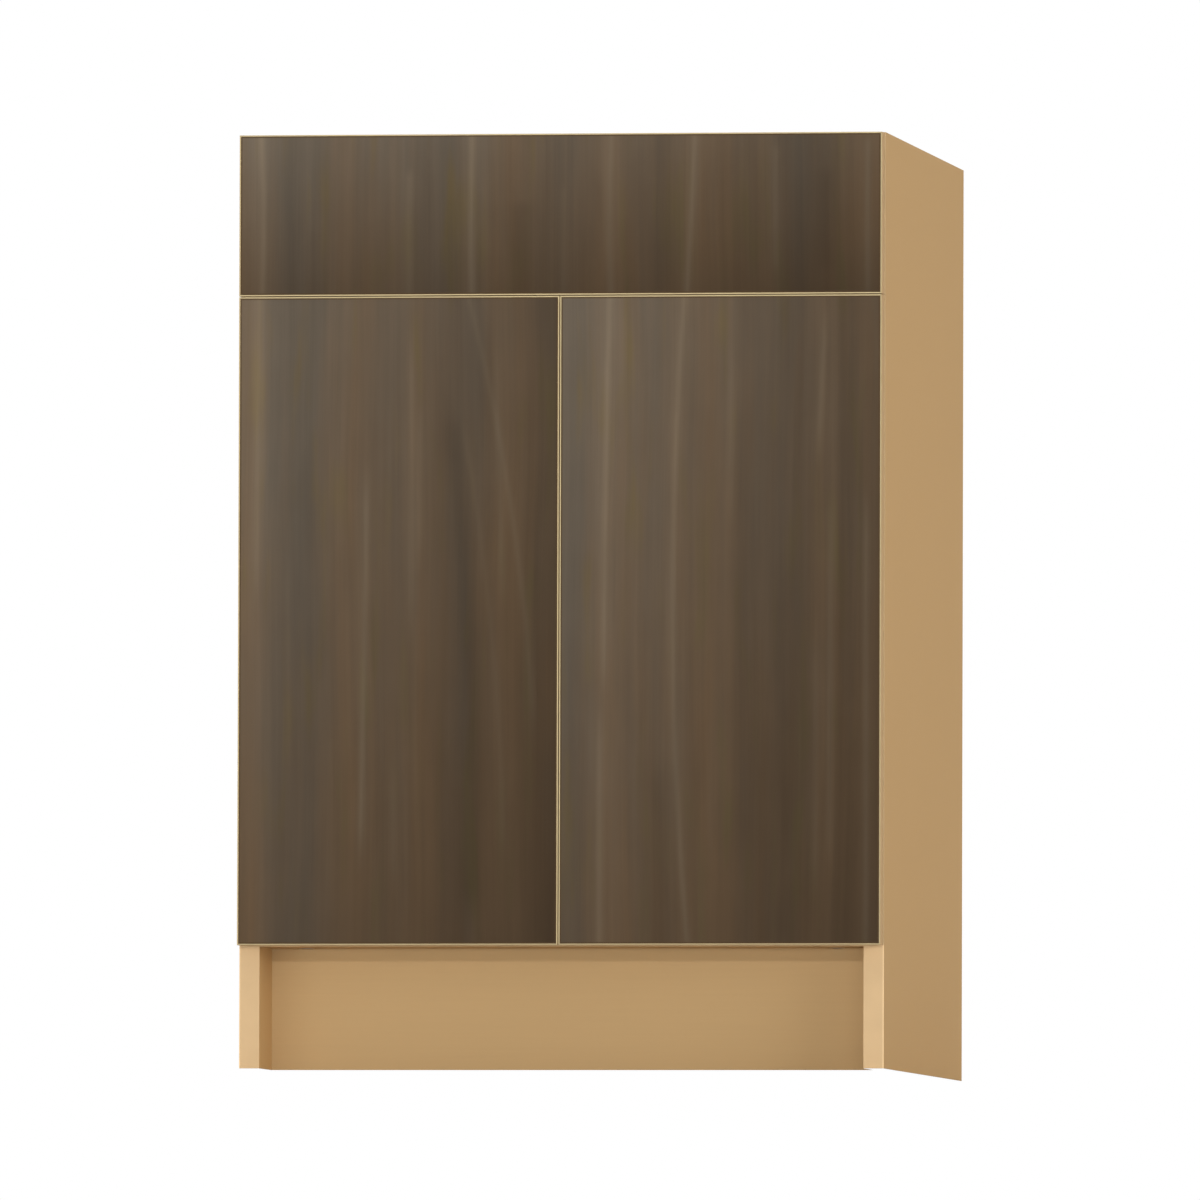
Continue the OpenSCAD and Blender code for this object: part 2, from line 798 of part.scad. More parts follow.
module hinge_cup_bored() {
    difference() {
        hinge_cup();
        cup_pin_bores();
    }
}

// Pin of the outer link, and the two stubs beside the inner links
module cup_pin_set() {
    c = cup_pin_reach(cup_pin_c[0], pin_r);
    d = cup_pin_reach(cup_pin_d[0], stub_r);
    upright(cup_pin_c, pin_r, -c, c);
    for (s = [0, 1]) mirror([0, 0, s]) upright(cup_pin_d, stub_r, inner_link_w[0] - 0.1, d);
}

// Screws through the cup's flange, or their bores in the door
module cup_screw_pair(gap) {
    for (s = [-1, 1]) translate([cup_screw_u, cup_v, s * cup_screw_w]) rotate([-90, 0, 0]) {
        translate([0, 0, -cup_flange_t]) cylinder(r = cup_screw_r + gap, h = cup_screw_len);
        translate([0, 0, -cup_flange_t - cup_screw_head]) cylinder(r1 = 2.6, r2 = 3.4, h = cup_screw_head);
    }
}

module right_hinge_plates() {
    color(steel) at_hinges() hinge_plate();
}

module left_hinge_plates() {
    mirror([1, 0, 0]) right_hinge_plates();
}

module right_hinge_arms() {
    color(steel) at_hinges() hinge_arm();
}

module left_hinge_arms() {
    mirror([1, 0, 0]) right_hinge_arms();
}

module hinge_adjusters() {
    color(zinc) both_sides() at_hinges() hinge_adjuster_pair();
}

module right_outer_links() {
    color(zinc) at_hinges() outer_link();
}

module left_outer_links() {
    mirror([1, 0, 0]) right_outer_links();
}

module right_inner_links() {
    color(zinc) at_hinges() inner_link();
}

module left_inner_links() {
    mirror([1, 0, 0]) right_inner_links();
}

module right_hinge_cups() {
    color(steel) at_hinges() hinge_cup_bored();
}

module left_hinge_cups() {
    mirror([1, 0, 0]) right_hinge_cups();
}

module right_cup_pins() {
    color(zinc) at_hinges() cup_pin_set();
}

module left_cup_pins() {
    mirror([1, 0, 0]) right_cup_pins();
}

module right_cup_screws() {
    color(zinc) at_hinges() difference() {
        cup_screw_pair(0);
        for (s = [-1, 1])
            translate([cup_screw_u, cup_v - cup_flange_t - cup_screw_head, s * cup_screw_w])
                rotate([-90, 0, 0]) cross_recess();
    }
}

module left_cup_screws() {
    mirror([1, 0, 0]) right_cup_screws();
}

// Pins of the links in the noses of the arms
module hinge_arm_pins() {
    color(zinc) both_sides() at_hinges()
        for (p = [link_pin_a, link_pin_b]) upright(p, pin_r, -arm_w - 0.3, arm_w + 0.3);
}

// Screws of the hinge plates and of the cabinet runners, in the side panels
module system_screws() {
    into = hole_depth - 0.5;
    color(zinc) both_sides() {
        difference() {
            web_screws(inner_x - runner_steel, 0, runner_steel + into);
            for (y = runner_screw_ys)
                translate([inner_x - runner_steel, y, runner_z]) rotate([0, 90, 0]) cross_recess();
        }
        at_hinges() for (s = [-1, 1])
            translate([-into, plate_screw_v, s * hole_pitch / 2]) rotate([0, 90, 0]) plate_screw(into);
    }
}

// Screw of a hinge plate, from its tip in the side panel to its head on the plate
module plate_screw(into) {
    grip = 2;
    head_h = 1.2;
    difference() {
        union() {
            cylinder(d = screw_d, h = into + grip);
            translate([0, 0, into + grip]) cylinder(r1 = 4, r2 = 3.2, h = head_h);
        }
        translate([0, 0, into + grip + head_h]) rotate([180, 0, 0]) cross_recess();
    }
}

// A front's board, inside its banding
module front_board(x0, x1, z0, z1) {
    board([x0 + band_t, front_y, z0 + band_t], [x1 - band_t, front_y + front_t, z1 - band_t]);
}

// Cross-section of a band strip: x outward from the board's edge, y through the thickness
module band_profile() {
    square([band_t - band_r, front_t]);
    translate([0, band_r]) square([band_t, front_t - 2 * band_r]);
    for (y = [band_r, front_t - band_r]) translate([band_t - band_r, y]) circle(r = band_r, $fn = 24);
}

// Four strips of banding round a front, upright ones over the ends of the level ones
module front_edging(x0, x1, z0, z1) {
    color(tan_edge) {
        translate([x1 - band_t, front_y, z0]) linear_extrude(z1 - z0) band_profile();
        translate([x0 + band_t, front_y, z0]) mirror([1, 0, 0]) linear_extrude(z1 - z0) band_profile();
        for (z = [z1 - band_t, z0 + band_t])
            translate([x0 + band_t, front_y, z]) mirror([0, 0, z < (z0 + z1) / 2 ? 1 : 0])
                multmatrix([[0, 0, 1, 0], [0, 1, 0, 0], [1, 0, 0, 0], [0, 0, 0, 1]])
                    linear_extrude(x1 - x0 - 2 * band_t) band_profile();
    }
}

// Right-hand door's board with the bores for its hinge cups and their screws
module door_board() {
    color(dark_laminate) difference() {
        front_board(door_gap / 2, front_w / 2, door_z0, door_z1);
        at_hinges() {
            translate([cup_u, cup_v - eps, 0]) rotate([-90, 0, 0]) cylinder(d = cup_d, h = cup_depth + eps);
            cup_screw_pair(screw_gap);
        }
    }
}

module right_door_panel() {
    door_board();
}

module left_door_panel() {
    mirror([1, 0, 0]) door_board();
}

module right_door_edging() {
    front_edging(door_gap / 2, front_w / 2, door_z0, door_z1);
}

module left_door_edging() {
    mirror([1, 0, 0]) right_door_edging();
}

// Round bumper on a front's back, between it and the carcass
module bumper(x, z) {
    bevel = 0.5;
    translate([x, front_y + front_t, z]) rotate([-90, 0, 0]) {
        cylinder(r = bumper_r, h = bumper_t - bevel);
        translate([0, 0, bumper_t - bevel]) cylinder(r1 = bumper_r, r2 = bumper_r - 2 * bevel, h = bevel);
    }
}

module right_door_bumpers() {
    from_edge = 30;
    color(clear_plastic) for (z = [toe_h + panel_t / 2, door_z1 - bumper_r - 0.3])
        bumper(door_gap / 2 + from_edge, z);
}

module left_door_bumpers() {
    mirror([1, 0, 0]) right_door_bumpers();
}

module drawer_bumpers() {
    from_edge = 60;
    color(clear_plastic) both_sides() for (z = [drawer_z0 + bumper_r + 0.2, stretcher_z + panel_t / 2])
        bumper(front_w / 2 - from_edge, z);
}

module drawer_front() {
    color(dark_laminate) difference() {
        front_board(-front_w / 2, front_w / 2, drawer_z0, drawer_z1);
        front_screws(screw_gap);
    }
}

module drawer_front_edging() {
    front_edging(-front_w / 2, front_w / 2, drawer_z0, drawer_z1);
}

// Puts a screw, drawn towards +Z, at each place where the box is fixed to the drawer front
module at_front_screws() {
    xs = [front_screw_inset, box_x - front_screw_inset];
    both_sides() for (x = xs)
        translate([x, box_y0 + box_t, box_z0 + box_h / 2]) rotate([90, 0, 0]) children();
}

// Screws from inside the box into the drawer front
module front_screws(gap) {
    into = 12;
    shank_r = 2;
    at_front_screws() {
        translate([0, 0, -front_screw_head]) cylinder(r1 = 3, r2 = 3.8, h = front_screw_head);
        cylinder(r = shank_r + gap, h = box_t + into);
    }
}

module drawer_screws() {
    color(zinc) difference() {
        union() {
            front_screws(0);
            both_sides() drawer_web_screws(0, runner_steel + box_screw_in);
        }
        at_front_screws() translate([0, 0, -front_screw_head]) cross_recess();
        both_sides() for (y = runner_screw_ys)
            translate([box_x + runner_steel, y, runner_z]) rotate([0, -90, 0]) cross_recess();
    }
}

// Groove for the drawer bottom, all round inside the box
module bottom_groove() {
    board([-box_x + box_t - box_groove, box_y0 + box_t - box_groove, box_z0 + box_bottom_z],
        [box_x - box_t + box_groove, box_y0 + box_len - box_t + box_groove,
            box_z0 + box_bottom_z + box_bottom_t + box_fit]);
}

// Right-hand side of the drawer box, rabbeted for the box's front and back
module box_side() {
    rabbet = box_t / 2;
    color(birch) difference() {
        board([box_x - box_t, box_y0, box_z0], [box_x, box_y0 + box_len, box_z0 + box_h]);
        bottom_groove();
        for (y = [box_y0 - eps, box_y0 + box_len - box_t])
            board([box_x - box_t - eps, y, box_z0 - eps],
                [box_x - rabbet, y + box_t + eps, box_z0 + box_h + eps]);
        drawer_web_screws(screw_gap, runner_steel + box_screw_in + fit_gap);
    }
}

module drawer_right_side() {
    box_side();
}

module drawer_left_side() {
    mirror([1, 0, 0]) box_side();
}

// Front or back of the drawer box, from its front face
module box_end(y0) {
    end_x = box_x - box_t / 2;
    color(birch) difference() {
        board([-end_x, y0, box_z0], [end_x, y0 + box_t, box_z0 + box_h]);
        bottom_groove();
        front_screws(screw_gap);
    }
}

module drawer_box_front() {
    box_end(box_y0);
}

module drawer_box_back() {
    box_end(box_y0 + box_len - box_t);
}

module drawer_bottom() {
    inset = box_t - box_groove + box_fit;
    color(birch) board([-box_x + inset, box_y0 + inset, box_z0 + box_bottom_z],
        [box_x - inset, box_y0 + box_len - inset, box_z0 + box_bottom_z + box_bottom_t]);
}

left_side();
right_side();
bottom_panel();
back_panel();
front_stretcher();
rear_stretcher();
divider_rail();
upper_wall_rail();
lower_wall_rail();
toe_board();
carcass_edging();
dowels();
cam_locks();
cam_bolts();
shelf();
shelf_edging();
shelf_pins();
left_cabinet_runner();
right_cabinet_runner();
system_screws();
left_hinge_plates();
right_hinge_plates();
left_hinge_arms();
right_hinge_arms();
hinge_arm_pins();
left_middle_runner();
right_middle_runner();
outer_ball_cages();
outer_balls();
inner_ball_cages();
inner_balls();
left_drawer_runner();
right_drawer_runner();
drawer_left_side();
drawer_right_side();
drawer_box_front();
drawer_box_back();
drawer_bottom();
drawer_front();
drawer_front_edging();
drawer_screws();
drawer_bumpers();
left_door_panel();
left_door_edging();
left_hinge_cups();
left_cup_pins();
left_cup_screws();
left_door_bumpers();
left_outer_links();
left_inner_links();
right_door_panel();
right_door_edging();
right_hinge_cups();
right_cup_pins();
right_cup_screws();
right_door_bumpers();
right_outer_links();
right_inner_links();
hinge_adjusters();
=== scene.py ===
# Kitchen base cabinet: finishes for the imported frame, a plain floor, soft light and the camera.
import bpy
import math
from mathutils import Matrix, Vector


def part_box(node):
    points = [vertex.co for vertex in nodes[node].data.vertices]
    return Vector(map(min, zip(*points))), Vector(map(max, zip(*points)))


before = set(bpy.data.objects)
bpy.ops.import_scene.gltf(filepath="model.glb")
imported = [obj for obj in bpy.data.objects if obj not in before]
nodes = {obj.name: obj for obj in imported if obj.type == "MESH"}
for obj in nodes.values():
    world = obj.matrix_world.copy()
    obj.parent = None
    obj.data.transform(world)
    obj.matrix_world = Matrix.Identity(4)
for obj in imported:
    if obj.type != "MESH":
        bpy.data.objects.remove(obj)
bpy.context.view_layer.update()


def fromScreen(*screen):
    # a colour as seen on screen, 0 to 255, turned into the one that a shader takes
    shares = [v / 255 for v in screen]
    return tuple(s / 12.92 if s <= 0.04045 else ((s + 0.055) / 1.055) ** 2.4 for s in shares) + (1,)


class Wire:
    # a socket in a node tree, so that shader maths reads as plain sums
    def __init__(self, board, socket):
        self.board, self.socket = board, socket

    def math(self, operation, first, second=None):
        sockets = {0: first} if second is None else {0: first, 1: second}
        return self.board.add("ShaderNodeMath", {"operation": operation}, sockets)

    def __add__(self, other):
        return self.math("ADD", self, other)

    def __radd__(self, other):
        return self.math("ADD", other, self)

    def __sub__(self, other):
        return self.math("SUBTRACT", self, other)

    def __rsub__(self, other):
        return self.math("SUBTRACT", other, self)

    def __mul__(self, other):
        return self.math("MULTIPLY", self, other)

    def __rmul__(self, other):
        return self.math("MULTIPLY", other, self)

    def __truediv__(self, other):
        return self.math("DIVIDE", self, other)

    def __rtruediv__(self, other):
        return self.math("DIVIDE", other, self)

    def __pow__(self, other):
        return self.math("POWER", self, other)

    def __gt__(self, other):
        return self.math("GREATER_THAN", self, other)

    def __lt__(self, other):
        return self.math("LESS_THAN", self, other)

    def __abs__(self):
        return self.math("ABSOLUTE", self)

    def least(self, other):
        return self.math("MINIMUM", self, other)

    def repeat(self, length):
        return self.math("MODULO", self, length)

    def rise(self, start, end):
        # 0 before start, 1 after end, smooth between them
        sockets = {"Value": self, "From Min": start, "From Max": end}
        return self.board.add("ShaderNodeMapRange", {"interpolation_type": "SMOOTHSTEP"}, sockets)


class Board:
    # the node tree of a material or of the room
    def __init__(self, owner):
        owner.use_nodes = True
        self.tree = owner.node_tree

    def add(self, kind, settings, sockets, out=0):
        made = self.tree.nodes.new(kind)
        for key, value in settings.items():
            if key == "stops":
                self.setStops(made.color_ramp, value)
            else:
                setattr(made, key, value)
        for socket, value in sockets.items():
            if isinstance(value, Wire):
                self.tree.links.new(value.socket, made.inputs[socket])
            else:
                made.inputs[socket].default_value = value
        return Wire(self, made.outputs[out])

    def setStops(self, ramp, stops):
        while len(ramp.elements) < len(stops):
            ramp.elements.new(0.5)
        for element, (position, value) in zip(ramp.elements, stops):
            element.position = position
            element.color = (value, value, value, 1)

    def feed(self, node, socket, wire):
        self.tree.links.new(wire.socket, node.inputs[socket])


class Finish(Board):
    # one material: its shader, the place on the part and what colours it
    def __init__(self, name, **fixed):
        self.material = bpy.data.materials.new(name)
        super().__init__(self.material)
        self.shader = self.tree.nodes["Principled BSDF"]
        for socket, value in fixed.items():
            self.shader.inputs[socket.replace("_", " ")].default_value = value
        self.place = self.split("Object")

    def split(self, coordinate):
        # x, y and z of one of the texture coordinates
        whole = self.add("ShaderNodeTexCoord", {}, {}, coordinate)
        return [self.add("ShaderNodeSeparateXYZ", {}, {0: whole}, i) for i in range(3)]

    def facing(self, axis):
        # 1 on the faces square to an axis, 0 on the others
        return abs(self.split("Normal")[axis]) > 0.5

    def point(self, x, y, z):
        return self.add("ShaderNodeCombineXYZ", {}, {0: x, 1: y, 2: z})

    def spread(self, perMetre, stretch=(1, 1, 1)):
        # the place on the part, counted in waves or chips along each axis
        return self.point(*[p * (perMetre * s) for p, s in zip(self.place, stretch)])

    def noise(self, point, detail, roughness=0.5):
        sockets = {"Vector": point, "Scale": 1, "Detail": detail, "Roughness": roughness}
        return self.add("ShaderNodeTexNoise", {}, sockets)

    def ramp(self, place, stops):
        # a value that follows stops along a place from 0 to 1
        grey = self.add("ShaderNodeValToRGB", {"stops": stops}, {0: place})
        return self.add("ShaderNodeSeparateColor", {}, {0: grey})

    def blend(self, share, first, second):
        return self.add("ShaderNodeMix", {"data_type": "RGBA"}, {0: share, 6: first, 7: second}, 2)

    def tone(self, colour, amount):
        colour = colour if isinstance(colour, Wire) else colour[:3]
        return self.add("ShaderNodeVectorMath", {"operation": "SCALE"}, {0: colour, "Scale": amount})

    def colour(self, wire):
        self.feed(self.shader, "Base Color", wire)

    def rough(self, wire):
        self.feed(self.shader, "Roughness", wire)

    def relief(self, height, depth):
        # bumps of a few hundredths of a millimetre
        bump = self.add("ShaderNodeBump", {}, {"Height": height, "Distance": depth, "Strength": 1})
        self.feed(self.shader, "Normal", bump)

    def paint(self, *names):
        for name in names:
            if not nodes[name].material_slots:
                nodes[name].data.materials.append(self.material)
            for slot in nodes[name].material_slots:
                slot.material = self.material


def alongGrain(grain, stretch):
    # the stretch of a board's figure, which changes slowly along its grain axis
    return [stretch if axis == grain else 1 for axis in range(3)]


boardIor = 1.45


# Chip core, seen at raw edges and in bores
chipboard = {
    "light": fromScreen(200, 170, 126),
    "dark": fromScreen(164, 131, 92),
    "chipsPerMetre": 640,
}


def chipCore(finish):
    sockets = {"Vector": finish.spread(chipboard["chipsPerMetre"]), "Scale": 1}
    chips = finish.add("ShaderNodeTexVoronoi", {"feature": "F1"}, sockets, "Color")
    chip = finish.add("ShaderNodeSeparateColor", {}, {0: chips})
    return finish.blend(chip, chipboard["light"], chipboard["dark"])


# Carcass board: maple-coloured melamine on both faces, painted paler where the toe space is dim, as painted
# light against its shade
melamine = {
    "colour": fromScreen(179, 145, 99),
    # painted light: the toe board's colour is paler than the carcass colour, against the shade of the toe
    # space
    "toePaintedLightColour": fromScreen(184, 154, 111),
    "streak": 0.02,
    "streaksPerMetre": 420,
    "cloudsPerMetre": 9,
    "grainStretch": 0.02,
    "roughness": 0.66,
    "roughnessVary": 0.12,
    "coreRougher": 0.35,
    "sheen": 0.03,
    "relief": 0.00003,
    # painted light: how much paler the toe space's walls and toe board are painted
    "toeWallsPaintedLight": {"within": 0.0005, "paintedLift": 0.2},
    "toeBoardPaintedLight": {"middle": 0.98, "paintedLift": 0.75},
}


def melamineBoard(name, face, grain, colour=melamine["colour"], light=lambda x, y, z: 1):
    # face is the axis across the board's thickness, grain the axis of its figure, light the painted light,
    # how much paler it is painted where
    finish = Finish(name, IOR=boardIor, Specular_IOR_Level=melamine["sheen"])
    stretch = alongGrain(grain, melamine["grainStretch"])
    fibre = finish.noise(finish.spread(melamine["streaksPerMetre"], stretch), 3)
    cloud = finish.noise(finish.spread(melamine["cloudsPerMetre"], stretch), 1)
    streak = (fibre - 0.5) * (2 * melamine["streak"]) + (cloud - 0.5) * melamine["streak"] + 1
    onFace = finish.facing(face)
    surface = finish.tone(colour, streak * light(*finish.place))
    finish.colour(finish.blend(onFace, chipCore(finish), surface))
    vary = (fibre - 0.5) * melamine["roughnessVary"]
    finish.rough(melamine["roughness"] + vary + (1 - onFace) * melamine["coreRougher"])
    finish.relief(fibre, melamine["relief"])
    return finish


def toeWallsPaintedLight(x, y, z):
    # painted light: the inner faces of the side panels beside the toe board are painted paler, against the
    # shade of the toe space
    walls = melamine["toeWallsPaintedLight"]
    return (z < doorFoot) * (abs(x) < innerSide + walls["within"]) * walls["paintedLift"] + 1


def toeBoardPaintedLight(x, y, z):
    # painted light: the toe board is painted paler towards its ends, where the side panels shade it
    board = melamine["toeBoardPaintedLight"]
    return x * x * board["paintedLift"] + board["middle"]


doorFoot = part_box("left_door_edging")[0].z
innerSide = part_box("right_side")[0].x
melamineBoard("melamine_upright", 0, 2, light=toeWallsPaintedLight).paint("left_side", "right_side")
melamineBoard("melamine_level", 2, 0).paint(
    "bottom_panel", "front_stretcher", "rear_stretcher", "divider_rail", "shelf")
melamineBoard("melamine_rail", 1, 0).paint("upper_wall_rail", "lower_wall_rail")
melamineBoard("melamine_toe", 1, 0, melamine["toePaintedLightColour"], toeBoardPaintedLight).paint("toe_board")
melamineBoard("melamine_back", 1, 2).paint("back_panel")
print("carcass boards painted")


# Pale banding on the carcass edges and round the fronts. Its front-facing faces are painted paler than
# its sides, as painted light; a painted highlight, a lighter corner line, runs at the cabinet's outer edges;
# the rim tone is painted shade on the fronts' outermost strips, darker at the right and at the foot
banding = {
    "carcass": {"face": fromScreen(200, 170, 130), "sides": fromScreen(188, 156, 114),
                "cornerHighlight": fromScreen(226, 196, 152), "cornerHighlightWidth": 0.0009, "rimShade": 1},
    "fronts": {"face": fromScreen(184, 166, 128), "sides": fromScreen(174, 142, 98),
               "cornerHighlight": fromScreen(190, 166, 124), "cornerHighlightWidth": 0.0005, "rimShade": 0.84},
    "rimShadeWidth": 0.0014,
    "streak": 0.05,
    "streaksPerMetre": 60,
    "stretch": (1, 15, 1),
    "roughness": 0.5,
    "roughnessVary": 0.2,
    "sheen": 0.03,
}


def bandStrip(name, colours, strip, top=1.0):
    # the painted highlight, the corner line, runs up to the height top
    low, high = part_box(strip)
    finish = Finish(name, IOR=boardIor, Specular_IOR_Level=banding["sheen"])
    x, y, z = finish.place
    fibre = finish.noise(finish.spread(banding["streaksPerMetre"], banding["stretch"]), 3)
    onFace = finish.facing(1)
    # painted light: front-facing faces take the paler face colour, all other faces the darker sides colour
    colour = finish.blend(onFace, colours["sides"], colours["face"])
    # painted highlight: a lighter line along the cabinet's outer corner
    near = colours["cornerHighlightWidth"]
    cornerHighlight = (abs(x) > high.x - near) * (y < low.y + near) * (z < top)
    colour = finish.blend(cornerHighlight, colour, colours["cornerHighlight"])
    # painted shade: the outermost strips at the right and at the foot are darkened by the rim tone
    rimShade = ((x > high.x - banding["rimShadeWidth"]) + (z < low.z + banding["rimShadeWidth"]) > 0.5) * onFace
    streak = (fibre - 0.5) * (2 * banding["streak"]) + 1
    finish.colour(finish.tone(colour, streak * (rimShade * (colours["rimShade"] - 1) + 1)))
    finish.rough(banding["roughness"] + (fibre - 0.5) * banding["roughnessVary"])
    return finish


bandStrip("banding_carcass", banding["carcass"], "carcass_edging", doorFoot).paint(
    "carcass_edging", "shelf_edging")
bandStrip("banding_fronts", banding["fronts"], "right_door_edging").paint(
    "drawer_front_edging", "left_door_edging", "right_door_edging")
print("banding painted")


# Dark laminate. Each noise has its waves to the metre across and along the grain, its detail and how
# much it counts. Some also change through the board, the others lie in a layer, alike on both faces.
walnut = {
    "cool": fromScreen(84, 75, 64),
    "warm": fromScreen(92, 74, 55),
    "ochre": fromScreen(89, 76, 53),
    "pale": fromScreen(109, 96, 79),
    # edge: the colour of the painted shade along each front's edges
    "edge": fromScreen(74, 57, 38),
    "contrast": 0.72,
    "hueContrast": 0.65,
    "warmth": {"topLeft": 0.05, "right": 0.4, "down": 0.6},
    "bend": {"across": 5, "along": 2.4, "layer": 0, "detail": 1, "amount": 0.014},
    "ripple": {"across": 25, "along": 9, "layer": 0, "detail": 2, "amount": 0.002, "inLines": 0.0012},
    "medium": {"across": 130, "along": 3, "through": 40, "detail": 3, "amount": 0.13, "inRelief": 0.5},
    "fine": {"across": 620, "along": 9, "through": 300, "detail": 3, "amount": 0.06},
    "cloud": {"across": 45, "along": 16, "layer": 13, "detail": 2, "amount": 0.07},
    "patch": {"across": 60, "along": 5, "layer": 7, "detail": 3, "amount": 0.8},
    "gold": {"across": 55, "along": 7, "layer": 31, "detail": 2, "from": 0.02, "to": 0.3},
    "lineWidth": 0.0044,
    "lineFade": 0.1,
    "linePast": 0.02,
    "shadeWidth": 0.014,
    "shadeDepth": 0.16,
    "lightPower": 2.2,
    "edgeShadeWidth": 0.0014,
    "edgeShadeShare": 0.75,
    "roughness": 0.6,
    "roughnessVary": 0.18,
    "coreRougher": 0.3,
    "sheen": 0.05,
    "relief": 0.00004,
}
# Along a front, u runs from its left to its right edge and v from its foot to its top. Streaks and
# warmth are given at places in u. Pale lines and dark shades have their u at the top, middle and
# foot, the v at which they start and end, and their strength.
# The four corner values of each front are painted light and shade: a painted sheen, lighter at the top left
# and darker at the bottom right.
fronts = {
    "drawer_front": {
        "topLeft": 1.18, "topRight": 0.93, "bottomLeft": 0.88, "bottomRight": 0.71,
        "streaks": [(0, 1.03), (0.03, 1.05), (0.08, 0.88), (0.16, 0.98), (0.2, 0.94), (0.25, 0.97),
                    (0.32, 0.9), (0.36, 0.98), (0.4, 1.0), (0.48, 0.92), (0.54, 0.96), (0.565, 1.03),
                    (0.62, 1.0), (0.655, 0.92), (0.7, 1.04), (0.74, 1.0), (0.79, 0.96), (0.825, 0.98),
                    (0.87, 0.88), (0.91, 0.9), (0.94, 1.0), (0.98, 1.04)],
        "warmth": [(0, 0.8), (0.05, 0.3), (0.1, 0), (0.16, 0.8), (0.22, 0.5), (0.33, 0.1), (0.42, 0.9),
                   (0.5, 0.4), (0.58, 0.8), (0.65, 0.4), (0.73, 0.9), (0.8, 0.6), (0.88, 0.1), (0.96, 0.9)],
        "lines": [(0.362, 0.361, 0.363, 1.1, -0.2, 0.55), (0.58, 0.577, 0.58, 1.1, -0.2, 0.36),
                  (0.71, 0.705, 0.698, 1.1, -0.2, 0.45), (0.033, 0.036, 0.034, 1.1, -0.2, 0.35),
                  (0.98, 0.98, 0.981, 1.0, -0.2, 0.4), (0.505, 0.505, 0.505, 0.7, -0.2, 0.2),
                  (0.266, 0.264, 0.265, 0.8, -0.2, 0.25), (0.837, 0.836, 0.838, 0.95, 0.1, 0.2)],
        "shades": [(0.45, 0.44, 0.44, 0.6, -0.2, 0.4), (0.92, 0.91, 0.92, 0.8, 0.1, 0.3)],
    },
    "left_door_panel": {
        "topLeft": 1.16, "topRight": 0.87, "bottomLeft": 0.93, "bottomRight": 0.71,
        "streaks": [(0, 1.02), (0.05, 1.08), (0.1, 0.96), (0.2, 0.91), (0.27, 0.98), (0.36, 1.02),
                    (0.44, 0.98), (0.55, 1.04), (0.63, 0.98), (0.69, 0.94), (0.76, 1.02), (0.82, 1.06),
                    (0.89, 1.03), (0.94, 0.94), (1, 0.92)],
        "warmth": [(0, 0.9), (0.05, 0.7), (0.12, 0.15), (0.22, 0.05), (0.29, 0.65), (0.36, 0.95),
                   (0.45, 0.55), (0.52, 0.5), (0.57, 0.9), (0.64, 0.6), (0.71, 0.25), (0.78, 0.75),
                   (0.86, 1), (0.93, 0.75), (1, 0.5)],
        "lines": [(0.4, 0.395, 0.375, 0.74, 0.1, 0.42), (0.72, 0.9, 0.93, 1.1, 0.3, 0.24),
                  (0.62, 0.79, 0.83, 0.84, 0.1, 0.16), (0.06, 0.05, 0.03, 1.1, 0.5, 0.25),
                  (0.54, 0.54, 0.54, 0.95, 0.45, 0.25), (0.57, 0.565, 0.56, 0.85, 0.55, 0.22),
                  (0.48, 0.48, 0.49, 0.3, 0.05, 0.18), (0.8, 0.83, 0.85, 0.95, 0.5, 0.2)],
        "shades": [(0.6, 0.72, 0.72, 0.86, 0, 0.5), (0.76, 0.8, 0.8, 1, 0.75, 0.3)],
    },
    "right_door_panel": {
        "topLeft": 1.16, "topRight": 0.87, "bottomLeft": 0.93, "bottomRight": 0.71,
        "streaks": [(0, 0.96), (0.045, 0.93), (0.09, 0.98), (0.13, 1.05), (0.2, 1.01), (0.31, 0.97),
                    (0.35, 1.03), (0.4, 1.0), (0.54, 1.04), (0.565, 0.95), (0.64, 0.95), (0.7, 0.93),
                    (0.76, 0.95), (0.81, 1.03), (0.85, 1.03), (0.875, 0.93), (0.92, 0.98), (0.96, 1.06),
                    (1, 0.98)],
        "warmth": [(0, 0.1), (0.06, 0.15), (0.12, 0.65), (0.2, 0.7), (0.3, 0.5), (0.37, 0.7), (0.46, 0.85),
                   (0.55, 0.7), (0.6, 0.55), (0.69, 0.45), (0.76, 0.5), (0.82, 0.75), (0.9, 0.65), (1, 0.9)],
        "lines": [(0.152, 0.136, 0.138, 1.1, 0.36, 0.38), (0.124, 0.124, 0.124, 0.38, -0.2, 0.34),
                  (0.386, 0.352, 0.4, 1.1, -0.2, 0.4), (0.535, 0.535, 0.535, 0.95, 0.6, 0.16),
                  (0.83, 0.79, 0.77, 0.98, 0.72, 0.35), (0.845, 0.845, 0.84, 0.7, 0.1, 0.25),
                  (0.955, 0.957, 0.96, 0.7, -0.2, 0.35), (0.8, 0.8, 0.8, 0.5, 0.05, 0.22)],
        "shades": [(0.3, 0.3, 0.32, 0.3, -0.2, 0.35), (0.57, 0.565, 0.57, 0.85, 0.1, 0.25),
                   (0.72, 0.71, 0.72, 0.6, 0.1, 0.25)],
    },
}


def figureNoise(finish, name, across, y, z):
    # one of the walnut's noises, from -0.5 to 0.5
    wave = walnut[name]
    depth = wave["layer"] if "layer" in wave else y * wave["through"]
    point = finish.point(across * wave["across"], depth, z * wave["along"])
    return finish.noise(point, wave["detail"]) - 0.5


def figureLine(u, v, width, line):
    # a soft line along a curve through its three places, which fades at both ends
    top, middle, foot, start, end, strength = line
    path = foot + v * ((4 * middle - 3 * foot - top) + v * (2 * foot - 4 * middle + 2 * top))
    off = (u - path) / width
    near = off * off + 1
    first, fade = start + walnut["linePast"], walnut["lineFade"]
    return (v.rise(end, end + fade) * v.rise(first, first - fade)) * strength / (near * near)


